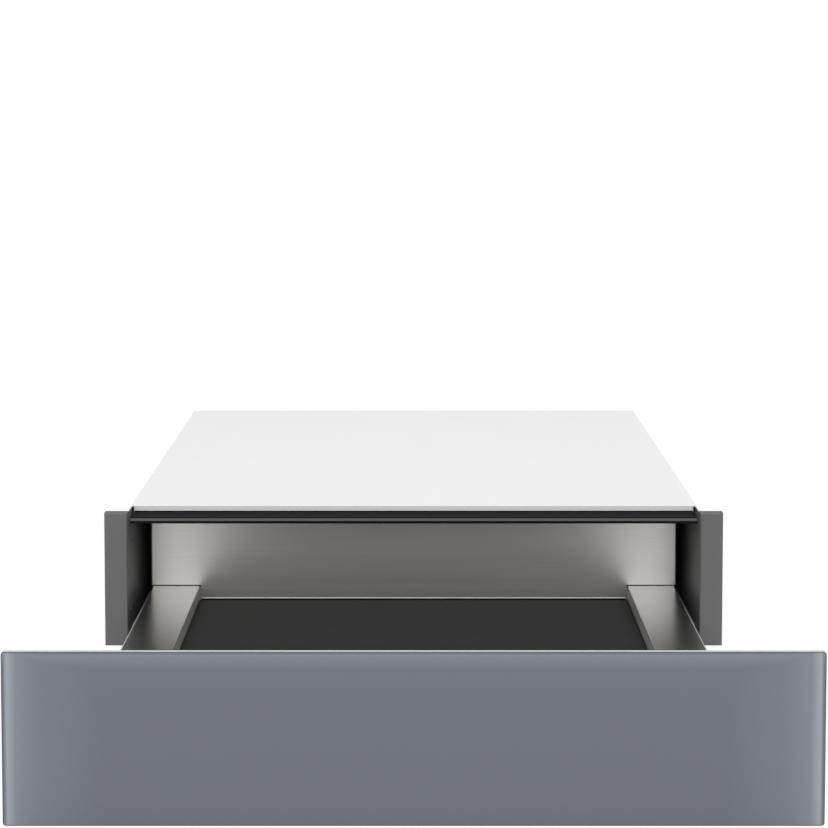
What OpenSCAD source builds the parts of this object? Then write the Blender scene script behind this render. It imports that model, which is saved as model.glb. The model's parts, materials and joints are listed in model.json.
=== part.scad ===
// Built-in storage drawer for a kitchen unit, in millimetres.
// The origin is the middle of the casing's underside. The front faces -Y and +Z is up.
// The drawer is drawn pulled out by drawer_travel, its most open place, and the push latch's
// plunger is out by eject_travel, where the open drawer leaves it.

/* [Casing] */
// Width of the casing's body, which goes into the cabinet
casing_w = 550; // [540:1:560]
// Depth from the front of the flanges to the back
casing_d = 530; // [520:1:560]
// Height of the casing and of its flanges
casing_h = 128.6; // [122:0.1:145]
// Thickness of the casing's sheet
casing_t = 1; // [0.8:0.1:1.5]
// Width of each front flange, from the inside of the side wall
flange_w = 22; // [18:0.5:26]
// Depth of the flange's folded edge
flange_d = 10; // [6:0.5:15]
// Outside radius of the folds that show
fold_r = 1.6; // [1.5:0.1:2.5]
// Radius of the corners of the flanges, seen from the front
flange_corner_r = 0.5; // [0.3:0.1:1]
// Height of the folds that join the casing's sheets
hem_h = 12; // [10:0.5:14]
// Air gap between the end of a hem and the next sheet
hem_gap = 2; // [1:0.5:4]
// Distance of the side hems behind the front of the flanges
hem_start = 30; // [28:1:50]
// Height of the fold along the front of the base
sill_h = 8.4; // [4:0.1:9]

/* [Top front rail] */
// Distance of the rail behind the front of the flanges
rail_set_back = 7.5; // [6:0.5:12]
// How far the rail's top lies below the casing's top
rail_drop = 4.7; // [4:0.1:6]
// Height of the rail's face with its rolled edge
rail_h = 5.7; // [5:0.1:6.5]
// Depth of the rail's top in front of the casing's top
rail_show = 22.5; // [18:0.5:23]
// Depth of the foot with which the casing's top lies on the rail
lid_foot = 8; // [5:0.5:9]
// Height of the rail's rear fold
rail_rear_h = 5; // [4:0.1:7]
// Depth of the rail's flat top
rail_d = 32; // [20:1:40]
// Gap between each end of the rail and the side wall
rail_end_gap = 2.4; // [1:0.1:3]
// Radius of the rolled lower edge
rail_bead_r = 1.5; // [1.2:0.1:1.8]

/* [Drawer box] */
// Thickness of the drawer's sheet
box_t = 1; // [0.8:0.1:1.5]
// Gap between a side ledge and the casing's side wall
ledge_side_gap = 12.5; // [8:0.5:16]
// Width of each side ledge
ledge_w = 47.1; // [44:0.1:60]
// Height of the ledge's outer fold
ledge_fold_h = 9; // [5:0.5:12]
// Depth of the tray between the ledges, down to its floor
tray_depth = 15; // [13:0.5:15]
// Gap between a ledge's end and the back wall
ledge_end_gap = 0.8; // [0.5:0.1:1.2]
// Height of the back wall above the ledges
back_rise = 69.2; // [60:0.1:72]
// Gap between the back wall and the casing's side wall
back_side_gap = 10.6; // [8:0.1:14]
// Height of the back wall's lower folds above the underside of the ledges
back_fold_lift = 0.4; // [0.2:0.1:0.9]
// Depth of the back wall's folded edges
back_fold_d = 12; // [8:0.5:12]
// Height of the carrier above the front wall's top edge
front_wall_drop = 4; // [3:0.5:4.5]
// Gap between the front wall and the side wall's line
front_side_gap = 6; // [5:0.5:9]
// Height of the folds at the floor's front and back
floor_fold_h = 12; // [11:0.5:14]
// Clearance under the drawer's lowest edges
under_gap = 3; // [2:0.5:4]
// Thickness of the anti-slip mat
mat_t = 2; // [1.5:0.1:3]
// Gap around the mat
mat_gap = 1.2; // [0.3:0.1:2]
// Radius of the mat's corners
mat_corner_r = 2; // [1:0.5:5]
// Depth of the bright strip behind the mat
strip_d = 5.3; // [4:0.1:8]
// Height of the strip above the mat
strip_rise = 1; // [0.5:0.1:2]
// Gap at each end of the strip
strip_end_gap = 1.6; // [1:0.1:3]

/* [Front panel] */
// How far the glass passes the flanges at each side
glass_over = 2.5; // [1:0.5:4]
// Clearance under the glass
glass_lift = 0.4; // [0.3:0.1:3]
// Thickness of the glass
glass_t = 4; // [3:0.5:6]
// Radius of the glass's corners
glass_corner_r = 2.5; // [1.5:0.5:5]
// Size of the polished arris along the glass's edges
glass_arris = 0.3; // [0.2:0.1:1]
// Thickness of the adhesive strips behind the glass
bond_t = 1; // [0.6:0.1:2]
// Width of the adhesive strips
bond_w = 12; // [8:1:16]
// Distance of the adhesive strips inside the carrier's edges
bond_inset = 5; // [4:0.5:10]
// Gap between adhesive strips that meet
bond_gap = 2; // [1:0.5:4]
// Number of upright adhesive strips
bond_count = 5; // [3:1:7]
// Depth of the steel carrier behind the glass
carrier_d = 14; // [10:0.5:18]
// How far the glass passes the carrier at each side
carrier_side_inset = 10.5; // [8:0.5:12]
// How far the glass passes the carrier at the top and the bottom
carrier_inset = 8; // [7.5:0.1:9]
// Width of the carrier's rim at its back
carrier_rim = 16; // [14:0.5:18]
// Thickness of the rubber bumpers
bumper_t = 1.4; // [1:0.1:2]
// Radius of the rubber bumpers
bumper_r = 4; // [3:0.5:5]
// Gap left between the bumpers and the flanges when the drawer is pushed right in
bumper_gap = 0.3; // [0.2:0.1:1]

/* [Slides] */
// How far the drawer moves between pushed right in and fully open
drawer_travel = 392; // [360:1:392]
// Length of each slide member
slide_l = 450; // [445:1:455]
// Distance of the slides behind the front of the flanges
slide_set_back = 4; // [3:0.5:6]
// Height of the outer member
slide_h = 30; // [29:0.5:32]
// Gap between the slides and the casing's base
slide_lift = 2.5; // [2:0.1:4]
// Gap between the slides and the ledge above them
slide_top_gap = 1.3; // [1:0.1:3]
// Thickness of the slides' sheet
slide_t = 1.2; // [1:0.1:1.3]
// Radius of the bearing balls
ball_r = 1.5; // [1.4:0.05:1.55]
// Clearance between a ball and its races
ball_gap = 0.08; // [0.06:0.01:0.1]
// Width of lip left beside a race, and of retainer beside a ball
race_edge = 1; // [0.8:0.1:1.2]
// Depth of the race cut into each lip for the balls
race_cut = 0.35; // [0.3:0.05:0.4]
// Width of the inner member's lips
slide_lip = 5.3; // [5:0.1:6]
// Gap between each member and the cage beside it
slide_gap = 0.5; // [0.4:0.1:0.8]
// Thickness of the ball cages
cage_t = 0.6; // [0.5:0.1:0.8]
// Length of each ball cage
cage_l = 240; // [220:1:250]
// Number of balls in each row
balls_in_row = 8; // [5:1:10]
// Thickness of the upright brackets that carry the slides
bracket_t = 1.5; // [1.2:0.1:2]
// Width of the brackets' feet
bracket_foot = 22; // [20:1:24]
// Length of each outer member behind the other two, which holds its plastic buffer
buffer_d = 5.5; // [4:0.5:7]
// Gap between the buffer and the middle member when the drawer is pushed right in
buffer_gap = 0.5; // [0.3:0.1:1]

/* [Push latch] */
// Distance that the plunger pushes the drawer out
eject_travel = 25; // [20:1:30]
// Length of the plunger that is still guided when it is out
plunger_guide = 9; // [8:1:12]
// Length of the plunger in front of its housing when it is in
plunger_nose = 11.7; // [11:0.1:14]
// Radius of the plunger
plunger_r = 5.8; // [5.5:0.1:7]
// Running clearance round the plunger
plunger_gap = 0.3; // [0.2:0.05:0.4]
// Radius of the spring's hole in the plunger
spring_hole_r = 4; // [3.8:0.1:4.4]
// Outside radius of the spring
spring_r = 3.5; // [3:0.1:3.6]
// Diameter of the spring's wire
wire_d = 0.8; // [0.6:0.1:1]
// Number of turns in the spring
spring_turns = 10; // [8:1:14]
// Wall at the back of the latch housing
latch_wall = 6; // [4:0.5:8]
// Wall of the latch housing above the plunger
latch_roof = 5; // [3:0.5:6]
// Gap between the plunger and the striker when the drawer is pushed right in
tip_gap = 0.3; // [0.2:0.1:1]
// Wall between the plunger's tip and its spring
plunger_tip_wall = 6; // [4:0.5:8]
// Size of the step at the plunger's tip
plunger_step = 1; // [0.5:0.1:2]
// Play behind the plunger when it is in
plunger_play = 2; // [1:0.5:3]
// Width of the latch housing
latch_w = 28; // [24:1:34]
// Height of the plunger's axis above the casing's base
latch_axis_h = 16; // [15:0.5:17]
// Width of the foot of the latch housing
latch_foot_w = 62; // [58:1:70]
// Thickness of the foot of the latch housing
latch_foot_t = 3; // [2:0.5:4]
// Distance of the foot behind the front of the latch housing
latch_foot_inset = 4; // [2:0.5:8]
// Radius of the corners of the latch's parts
latch_corner_r = 3; // [2:0.5:4]
// Width of the striker plate on the back of the drawer
striker_w = 34; // [30:1:40]
// Height of the striker plate
striker_h = 16; // [14:1:16]
// Thickness of the striker plate
striker_t = 2; // [1.5:0.1:3]
// Distance of the striker's rivets inside its ends
striker_rivet_inset = 5; // [4.5:0.5:7]

/* [Fasteners] */
// Radius of the rivets' shanks
rivet_r = 1.6; // [1.2:0.1:2]
// Radius of the rivets' heads
rivet_head_r = 3; // [2.6:0.1:3.4]
// Height of the rivets' heads
rivet_head_h = 1.1; // [0.8:0.1:1.3]
// Radial clearance of shanks in their holes
hole_gap = 0.1; // [0.05:0.05:0.2]
// Rivets along each long joint of the casing
casing_rivet_count = 5; // [4:1:7]
// Distance of the end rivets of those joints from the casing's front and back
casing_rivet_end = 60; // [50:1:80]
// Spacing of the rivets in the casing's back corners
back_rivet_spacing = 46; // [30:1:60]
// Rivets along each slide
slide_rivet_count = 4; // [3:1:6]
// Distance of the end rivets of a slide from its ends
slide_rivet_end = 40; // [30:1:60]
// Radius of the studs on the casing's base
stud_r = 2; // [1.5:0.1:2.5]
// Length of the studs above the sheet
stud_l = 7; // [6.5:0.5:9]
// Distance of the end studs of a bracket from its ends
stud_end = 60; // [40:1:80]
// Width of the nuts across their flats
nut_flats = 7; // [6.5:0.1:8]
// Height of the nuts
nut_h = 3.2; // [2.5:0.1:3.5]
// Radius of the screws in the front panel
screw_r = 1.9; // [1.5:0.1:2.2]
// Radius of the screws' heads
screw_head_r = 3.4; // [3:0.1:3.8]
// Height of the screws' heads
screw_head_h = 2.2; // [1.8:0.1:2.4]
// Length of the screws past the drawer's front wall
screw_reach = 5; // [4:0.5:8]
// Length of the cross in the screws' heads
cross_l = 4.4; // [3.5:0.1:5]
// Width of the cross in the screws' heads
cross_w = 0.8; // [0.6:0.1:1]
// Depth of the cross in the screws' heads
cross_d = 1.2; // [0.8:0.1:1.5]
// Radius of the holes for the cabinet screws
niche_hole_r = 2.25; // [2:0.05:2.6]
// Distance of the cabinet screws behind the front of the flanges
niche_set_back = 20; // [16:1:30]
// Spacing of the two cabinet screws in each side wall
niche_spacing = 67; // [50:1:80]

/* [Hidden] */
$fn = 48;
// How far a cutting shape passes the surface that it cuts
over = 1;

// Casing: planes of the sheets
front_y = -casing_d / 2;
rear_y = casing_d / 2;
wall_out = casing_w / 2;
wall_in = wall_out - casing_t;
flange_out = wall_in + flange_w;
base_top = casing_t;
top_under = casing_h - casing_t;
rear_in = rear_y - casing_t;
flange_rear = front_y + flange_d;
rail_y = front_y + rail_set_back;
lid_y = rail_y + rail_show;
rail_top = casing_h - rail_drop;
rail_l = wall_in - rail_end_gap;

// Drawer: heights
slide_z = base_top + slide_lift + slide_h / 2;
ledge_under = slide_z + slide_h / 2 + slide_top_gap;
ledge_z = ledge_under + box_t;
floor_z = ledge_z - tray_depth;
floor_under = floor_z - box_t;
skirt_bottom = base_top + under_gap;
mat_z = floor_z + mat_t;
back_top = ledge_z + back_rise;
back_low = floor_z - floor_fold_h;
back_fold_z = ledge_under + back_fold_lift;

// Drawer: widths
ledge_out = wall_in - ledge_side_gap;
ledge_in = ledge_out - ledge_w;
skirt_out = ledge_in + box_t;
back_out = wall_in - back_side_gap;
front_out = wall_in - front_side_gap;

// Push latch: its length sets the room behind the drawer
latch_l = eject_travel + plunger_guide + plunger_play + latch_wall;
rear_room = box_t + striker_t + tip_gap + plunger_nose + latch_l;
housing_rear = rear_in;
housing_front = housing_rear - latch_l;
tip_y = housing_front - plunger_nose;
plunger_rear = housing_rear - latch_wall - plunger_play;
latch_z = base_top + latch_axis_h;
latch_top = latch_z + plunger_r + plunger_gap + latch_roof;
spring_floor = tip_y + plunger_tip_wall;
spring_front = spring_floor - eject_travel;

// Drawer: places when it is pushed right in
box_rear = rear_in - rear_room;
carrier_rear = front_y - bumper_gap - bumper_t;
box_front = carrier_rear + box_t;
carrier_front = carrier_rear - carrier_d;
glass_rear = carrier_front - bond_t;
glass_front = glass_rear - glass_t;
glass_half_w = flange_out + glass_over;
carrier_half_w = glass_half_w - carrier_side_inset;
carrier_low = glass_lift + carrier_inset;
glass_top = casing_h + glass_lift;
carrier_high = glass_top - carrier_inset;
front_wall_top = carrier_high - front_wall_drop;
mat_front = box_front + 2 * box_t;
strip_front = box_rear - strip_d;

// Slides: from the drawer's skirt outwards to the bracket
inner_web = skirt_out + slide_t;
inner_tip = inner_web + slide_lip;
cage_in_web = inner_tip + slide_gap;
middle_web = cage_in_web + cage_t + slide_gap;
middle_out = middle_web + slide_t;
middle_tip = inner_web + slide_gap;
cage_out_web = middle_out + slide_gap;
outer_web = cage_out_web + cage_t + slide_gap;
outer_out = outer_web + slide_t;
ball_in_x = (middle_tip + inner_tip) / 2;
ball_out_x = (ball_in_x + outer_web) / 2 - slide_t;
outer_tip = ball_out_x - ball_r - ball_gap - race_edge;
cage_in_tip = max(ball_in_x - ball_r - ball_gap - race_edge, inner_web + slide_gap);
cage_out_tip = ball_out_x - ball_r - ball_gap - race_edge;
race_gap = 2 * (ball_r + ball_gap - race_cut);
outer_lip_z = slide_h / 2 - slide_t;
ball_out_z = outer_lip_z - race_gap / 2;
middle_half_h = outer_lip_z - race_gap;
middle_lip_z = middle_half_h - slide_t;
ball_in_z = middle_lip_z - race_gap / 2;
inner_half_h = middle_lip_z - race_gap;
slide_front = front_y + slide_set_back;
slide_rear = slide_front + slide_l;
slide_mid = (slide_front + slide_rear) / 2;
bracket_out = outer_out + bracket_t;
bracket_high = slide_z + slide_h / 2;
foot_out = bracket_out + bracket_foot;

// Places of the fasteners
hem_mid = hem_h / 2;
function row(from, to, count) = [for (i = [0 : count - 1]) from + i * (to - from) / (count - 1)];
long_rivet_ys = row(front_y + casing_rivet_end, rear_y - casing_rivet_end, casing_rivet_count);
back_rivet_zs = row((casing_h - back_rivet_spacing) / 2, (casing_h + back_rivet_spacing) / 2, 2);
slide_rivet_ys = row(slide_front + slide_rivet_end, slide_rear - slide_rivet_end, slide_rivet_count);
stud_x = bracket_out + bracket_foot / 2;
stud_ys = row(slide_front + stud_end, slide_rear - stud_end, 3);
latch_stud_x = (latch_w + latch_foot_w) / 4;
latch_stud_y = (housing_front + housing_rear) / 2;
niche_y = front_y + niche_set_back;
niche_zs = row((casing_h - niche_spacing) / 2, (casing_h + niche_spacing) / 2, 2);
upper_screw_z = carrier_high - carrier_rim / 2;
upper_screw_xs = [-0.9, -0.3, 0.3, 0.9] * front_out;
lower_screw_z = (back_low + floor_under) / 2;
lower_screw_xs = [-0.75, -0.25, 0.25, 0.75] * ledge_in;
bumper_x = (wall_in + min(flange_out, carrier_half_w)) / 2;
bumper_zs = [carrier_low + carrier_rim, carrier_high - carrier_rim];
striker_rivet_x = striker_w / 2 - striker_rivet_inset;

// Shared shapes

// Box between two corners
module block(low, high) translate(low) cube(high - low);

// Flat rectangle between two corners, its own corners rounded
module round_rect(low, high, r) {
    translate([low.x + r, low.y]) square([high.x - low.x - 2 * r, high.y - low.y]);
    translate([low.x, low.y + r]) square([high.x - low.x, high.y - low.y - 2 * r]);
    for (x = [low.x + r, high.x - r], y = [low.y + r, high.y - r])
        translate([x, y]) circle(r);
}

// Flat rectangle between two corners, its own corners cut off
module cut_rect(low, high, c) polygon([
    [low.x + c, low.y], [high.x - c, low.y], [high.x, low.y + c], [high.x, high.y - c],
    [high.x - c, high.y], [low.x + c, high.y], [low.x, high.y - c], [low.x, low.y + c]
]);

// A flat shape in Y and Z, drawn out along X
module along_x(from, to) translate([from, 0, 0]) rotate([90, 0, 90]) linear_extrude(to - from) children();

// A flat shape in X and Z, drawn out along Y
module along_y(from, to) translate([0, to, 0]) rotate([90, 0, 0]) linear_extrude(to - from) children();

// A flat shape in X and Y, drawn out along Z
module along_z(from, to) translate([0, 0, from]) linear_extrude(to - from) children();

// A round bar along X, Y or Z
module bar_x(from, to, r) translate([from, 0, 0]) rotate([0, 90, 0]) cylinder(r = r, h = to - from);
module bar_y(from, to, r) translate([0, from, 0]) rotate([-90, 0, 0]) cylinder(r = r, h = to - from);
module bar_z(from, to, r) translate([0, 0, from]) cylinder(r = r, h = to - from);

// The same shape on the other side
module mirrored() mirror([1, 0, 0]) children();

// Both sides at once
module both_sides() {
    children();
    mirrored() children();
}

// A block with its front edges and its corners rounded and its back cut flat
module tray_block(low, high, r, corner_r) intersection() {
    along_z(low.z, high.z) round_rect([low.x, low.y], [high.x, high.y + 2 * r], r);
    along_x(low.x, high.x) round_rect([low.y, low.z], [high.y + 2 * r, high.z], r);
    along_y(low.y, high.y) round_rect([low.x, low.z], [high.x, high.z], corner_r);
}

// A sheet folded down at both edges, as a flat shape
module channel(left, right, top, left_low, right_low, t, r) {
    low = min(left_low, right_low) - 2 * r;
    difference() {
        round_rect([left, low], [right, top], r);
        round_rect([left + t, low - 2 * r], [right - t, top - t], r - t);
        translate([left - over, low - over]) square([(right - left) / 2 + over, left_low - low + over]);
        translate([(left + right) / 2, low - over])
            square([(right - left) / 2 + over, right_low - low + over]);
    }
}

// A rivet whose head starts at x and grows away from it, with its shank behind
module rivet_x(x, shank) translate([x - shank, 0, 0]) rotate([0, 90, 0]) {
    cylinder(r = rivet_r, h = shank + rivet_head_h / 2);
    translate([0, 0, shank]) cylinder(r = rivet_head_r, h = rivet_head_h / 2);
    translate([0, 0, shank + rivet_head_h / 2])
        cylinder(r1 = rivet_head_r, r2 = rivet_head_r * 0.6, h = rivet_head_h / 2);
}

// A screw along Y with a slotted cross in its head, its head behind y and its shank in front
module screw_y(y, shank) difference() {
    union() {
        bar_y(y - shank, y + screw_head_h / 2, screw_r);
        bar_y(y, y + screw_head_h, screw_head_r);
    }
    for (turn = [0, 90])
        rotate([0, turn, 0])
            block([-cross_l / 2, y + screw_head_h - cross_d, -cross_w / 2],
                [cross_l / 2, y + screw_head_h + over, cross_w / 2]);
}

// Holes for rivets along X through the sheets between two planes
module rivet_holes(ys, zs, from, to)
    for (y = ys, z = zs)
        translate([0, y, z]) bar_x(from - over, to + over, rivet_r + hole_gap);

// Holes for screws along Y through the sheets between two planes
module screw_holes(xs, z, from, to)
    for (x = xs)
        translate([x, 0, z]) bar_y(from - over, to + over, screw_r + hole_gap);

// Places a part that is drawn as it is when the drawer is pushed right in where the open drawer
// has it
module in_drawer() translate([0, -drawer_travel, 0]) children();
module in_middle() translate([0, -drawer_travel / 2, 0]) children();
module in_outer_cage() translate([0, -drawer_travel / 4, 0]) children();
module in_inner_cage() translate([0, -drawer_travel * 3 / 4, 0]) children();
module in_plunger() translate([0, -eject_travel, latch_z]) children();

// Casing

module casing_base() color("gainsboro") difference() {
    union() {
        block([-wall_in, rail_y, 0], [wall_in, rear_in, casing_t]);
        both_sides()
            block([wall_in - casing_t, front_y + hem_start, 0],
                [wall_in, rear_in - hem_gap, base_top + hem_h]);
        block([-ledge_in + hem_h, rail_y, 0], [ledge_in - hem_h, rail_y + casing_t, base_top + sill_h]);
        both_sides()
            for (y = stud_ys)
                translate([stud_x, y, 0]) bar_z(0, base_top + stud_l, stud_r);
        both_sides()
            translate([latch_stud_x, latch_stud_y, 0]) bar_z(0, base_top + stud_l, stud_r);
    }
    both_sides() rivet_holes(long_rivet_ys, [base_top + hem_mid], wall_in - casing_t, wall_in);
}

module casing_side() difference() {
    union() {
        block([wall_in, flange_rear, 0], [wall_out, rear_y, top_under]);
        difference() {
            tray_block([wall_in, front_y, 0], [flange_out, flange_rear, casing_h], fold_r,
                flange_corner_r);
            block([wall_out, front_y + casing_t, casing_t],
                [flange_out - casing_t, flange_rear + over, casing_h - casing_t]);
        }
    }
    rivet_holes(long_rivet_ys, [base_top + hem_mid, top_under - hem_mid], wall_in, wall_out);
    rivet_holes([rear_in - hem_mid], back_rivet_zs, wall_in, wall_out);
    for (z = niche_zs)
        translate([0, niche_y, z]) bar_x(wall_in - over, wall_out + over, niche_hole_r);
}

module casing_side_right() color("dimgray") casing_side();
module casing_side_left() color("dimgray") mirrored() casing_side();

module casing_back() color("gainsboro") difference() {
    union() {
        block([-wall_in, rear_in, 0], [wall_in, rear_y, top_under]);
        both_sides()
            block([wall_in - casing_t, rear_in - hem_h, base_top + hem_h + hem_gap],
                [wall_in, rear_in, top_under - hem_h - hem_gap]);
    }
    both_sides() rivet_holes([rear_in - hem_mid], back_rivet_zs, wall_in - casing_t, wall_in);
}

module casing_top() color("gainsboro") difference() {
    union() {
        block([-wall_in, lid_y, top_under], [wall_in, rear_y, casing_h]);
        block([-rail_l, lid_y, rail_top], [rail_l, lid_y + casing_t, casing_h]);
        block([-rail_l, lid_y, rail_top], [rail_l, lid_y + lid_foot, rail_top + casing_t]);
        both_sides() block([wall_in, flange_rear, top_under], [wall_out, rear_y, casing_h]);
        both_sides()
            block([wall_in - casing_t, rail_y + rail_d + hem_gap, top_under - hem_h],
                [wall_in, rear_in - hem_gap, casing_h]);
    }
    both_sides() rivet_holes(long_rivet_ys, [top_under - hem_mid], wall_in - casing_t, wall_in);
}

module top_front_rail() color("#2e2e2e") along_x(-rail_l, rail_l) {
    bead_z = rail_top - rail_h + rail_bead_r;
    channel(rail_y, rail_y + rail_d, rail_top, bead_z, rail_top - rail_rear_h, casing_t, fold_r);
    translate([rail_y + casing_t - rail_bead_r, bead_z]) circle(rail_bead_r);
}

module casing_rivets() color("silver") both_sides() {
    for (y = long_rivet_ys, z = [base_top + hem_mid, top_under - hem_mid])
        translate([0, y, z]) rivet_x(wall_out, 2 * casing_t);
    for (z = back_rivet_zs)
        translate([0, rear_in - hem_mid, z]) rivet_x(wall_out, 2 * casing_t);
}

// A hexagonal nut round the Z axis, standing on z
module nut(z) difference() {
    translate([0, 0, z]) cylinder(r = nut_flats / 2 / cos(30), h = nut_h, $fn = 6);
    bar_z(z - over, z + nut_h + over, stud_r + hole_gap);
}

module stud_nuts() color("silver") both_sides() {
    for (y = stud_ys)
        translate([stud_x, y, 0]) nut(base_top + bracket_t);
    translate([latch_stud_x, latch_stud_y, 0]) nut(base_top + latch_foot_t);
}

// Slides

module slide_bracket() difference() {
    union() {
        block([outer_out, slide_front, base_top], [bracket_out, slide_rear, bracket_high]);
        block([outer_out, slide_front, base_top], [foot_out, slide_rear, base_top + bracket_t]);
    }
    for (y = stud_ys)
        translate([stud_x, y, 0]) bar_z(0, base_top + bracket_t + over, stud_r + hole_gap);
    rivet_holes(slide_rivet_ys, [slide_z], outer_out, bracket_out);
}

module slide_bracket_right() color("gainsboro") slide_bracket();
module slide_bracket_left() color("gainsboro") mirrored() slide_bracket();

// Flat C shape with its web at the side of web_x that faces away from tip_x, about z = 0
module c_shape(tip_x, web_x, half_h, t) {
    out_x = web_x > tip_x ? web_x + t : web_x - t;
    difference() {
        translate([min(tip_x, out_x), -half_h]) square([abs(out_x - tip_x), 2 * half_h]);
        translate([min(tip_x, web_x) - (web_x > tip_x ? over : 0), -half_h + t])
            square([abs(web_x - tip_x) + over, 2 * (half_h - t)]);
    }
}

// Flat pair of races at x, at the heights z and -z
module races(x, z)
    for (side = [-1, 1])
        translate([x, side * z]) circle(ball_r + ball_gap);

module slide_outer() difference() {
    translate([0, 0, slide_z]) along_y(slide_front, slide_rear + buffer_d) difference() {
        c_shape(outer_tip, outer_web, slide_h / 2, slide_t);
        races(ball_out_x, ball_out_z);
    }
    rivet_holes(slide_rivet_ys, [slide_z], outer_web, outer_out);
}

module slide_outer_right() color("silver") slide_outer();
module slide_outer_left() color("silver") mirrored() slide_outer();

module slide_middle() in_middle() translate([0, 0, slide_z]) along_y(slide_front, slide_rear) difference() {
    c_shape(middle_tip, middle_web, middle_half_h, slide_t);
    races(ball_out_x, ball_out_z);
    races(ball_in_x, ball_in_z);
}

module slide_middle_right() color("silver") slide_middle();
module slide_middle_left() color("silver") mirrored() slide_middle();

module slide_inner() in_drawer() difference() {
    translate([0, 0, slide_z]) along_y(slide_front, slide_rear) difference() {
        c_shape(inner_tip, inner_web, inner_half_h, slide_t);
        races(ball_in_x, ball_in_z);
    }
    rivet_holes(slide_rivet_ys, [slide_z], skirt_out, inner_web);
}

module slide_inner_right() color("silver") slide_inner();
module slide_inner_left() color("silver") mirrored() slide_inner();

// A retainer with its two rows of balls, drawn about the middle of the slide
module ball_cage(tip_x, web_x, ball_x, ball_z) {
    pitch = cage_l / balls_in_row;
    ys = [for (i = [0 : balls_in_row - 1]) slide_mid + (i - (balls_in_row - 1) / 2) * pitch];
    translate([0, 0, slide_z]) {
        difference() {
            along_y(slide_mid - cage_l / 2, slide_mid + cage_l / 2)
                c_shape(tip_x, web_x, ball_z + cage_t / 2, cage_t);
            for (y = ys)
                translate([ball_x, y, 0]) bar_z(-ball_z - over, ball_z + over, ball_r + ball_gap);
        }
        for (y = ys, side = [-1, 1])
            translate([ball_x, y, side * ball_z]) sphere(ball_r);
    }
}

module ball_cage_outer() in_outer_cage() ball_cage(cage_out_tip, cage_out_web, ball_out_x, ball_out_z);
module ball_cage_outer_right() color("goldenrod") ball_cage_outer();
module ball_cage_outer_left() color("goldenrod") mirrored() ball_cage_outer();

module ball_cage_inner() in_inner_cage() ball_cage(cage_in_tip, cage_in_web, ball_in_x, ball_in_z);
module ball_cage_inner_right() color("goldenrod") ball_cage_inner();
module ball_cage_inner_left() color("goldenrod") mirrored() ball_cage_inner();

module slide_rivets_fixed() color("silver") both_sides()
    for (y = slide_rivet_ys)
        translate([0, y, slide_z]) rivet_x(bracket_out, bracket_t + slide_t);

module slide_rivets_drawer() color("silver") in_drawer() both_sides()
    for (y = slide_rivet_ys)
        translate([0, y, slide_z]) rivet_x(inner_web, box_t + slide_t);

module slide_rear_buffers() color("black") both_sides()
    translate([0, 0, slide_z])
        block([outer_tip, slide_rear + buffer_gap, -outer_lip_z],
            [outer_web, slide_rear + buffer_d, outer_lip_z]);

// Drawer box

module side_ledge() in_drawer() difference() {
    union() {
        along_y(box_front, box_rear - ledge_end_gap)
            channel(ledge_in, ledge_out, ledge_z, skirt_bottom, ledge_z - ledge_fold_h, box_t, fold_r);
        block([ledge_in, box_rear - ledge_end_gap, skirt_bottom], [skirt_out, box_rear, ledge_under]);
    }
    rivet_holes(slide_rivet_ys, [slide_z], ledge_in, skirt_out);
}

module side_ledge_right() color("darkgray") side_ledge();
module side_ledge_left() color("darkgray") mirrored() side_ledge();

module drawer_floor() color("silver") in_drawer() difference() {
    union() {
        block([-ledge_in, box_front, floor_under], [ledge_in, box_rear, floor_z]);
        for (y = [box_front, box_rear - box_t])
            block([-ledge_in, y, back_low], [ledge_in, y + box_t, floor_z]);
    }
    screw_holes(lower_screw_xs, lower_screw_z, box_front, box_front + box_t);
}

module drawer_back() color("darkgray") in_drawer() difference() {
    union() {
        difference() {
            tray_block([-back_out, box_rear, back_fold_z],
                [back_out, box_rear + box_t + back_fold_d, back_top], fold_r, fold_r);
            block([-back_out + box_t, box_rear + box_t, back_fold_z + box_t],
                [back_out - box_t, box_rear + box_t + back_fold_d + over, back_top - box_t]);
            block([-ledge_in, box_rear + box_t, back_fold_z - over],
                [ledge_in, box_rear + box_t + back_fold_d + over, back_fold_z + box_t + over]);
        }
        block([-skirt_out, box_rear, back_low], [skirt_out, box_rear + box_t, back_fold_z + 2 * fold_r]);
    }
    for (side = [-1, 1])
        translate([side * striker_rivet_x, 0, latch_z])
            bar_y(box_rear - over, box_rear + box_t + over, rivet_r + hole_gap);
}

module drawer_front_wall() color("silver") in_drawer() difference() {
    block([-front_out, carrier_rear, skirt_bottom], [front_out, box_front, front_wall_top]);
    screw_holes(upper_screw_xs, upper_screw_z, carrier_rear, box_front);
    screw_holes(lower_screw_xs, lower_screw_z, carrier_rear, box_front);
}

module anti_slip_mat() color("#302f2d") in_drawer()
    along_z(floor_z, mat_z)
        round_rect([-ledge_in + mat_gap, mat_front], [ledge_in - mat_gap, strip_front - mat_gap],
            mat_corner_r);

module mat_retaining_strip() color("silver") in_drawer()
    block([-ledge_in + strip_end_gap, strip_front, floor_z],
        [ledge_in - strip_end_gap, box_rear, mat_z + strip_rise]);

// Front panel

module front_carrier() color("silver") in_drawer() difference() {
    tray_block([-carrier_half_w, carrier_front, carrier_low], [carrier_half_w, carrier_rear, carrier_high],
        fold_r, fold_r);
    block([-carrier_half_w + box_t, carrier_front + box_t, carrier_low + box_t],
        [carrier_half_w - box_t, carrier_rear - box_t, carrier_high - box_t]);
    block([-carrier_half_w + carrier_rim, carrier_rear - 2 * box_t, carrier_low + carrier_rim],
        [carrier_half_w - carrier_rim, carrier_rear + over, carrier_high - carrier_rim]);
    screw_holes(upper_screw_xs, upper_screw_z, carrier_rear - box_t, carrier_rear);
    screw_holes(lower_screw_xs, lower_screw_z, carrier_rear - box_t, carrier_rear);
}

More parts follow.
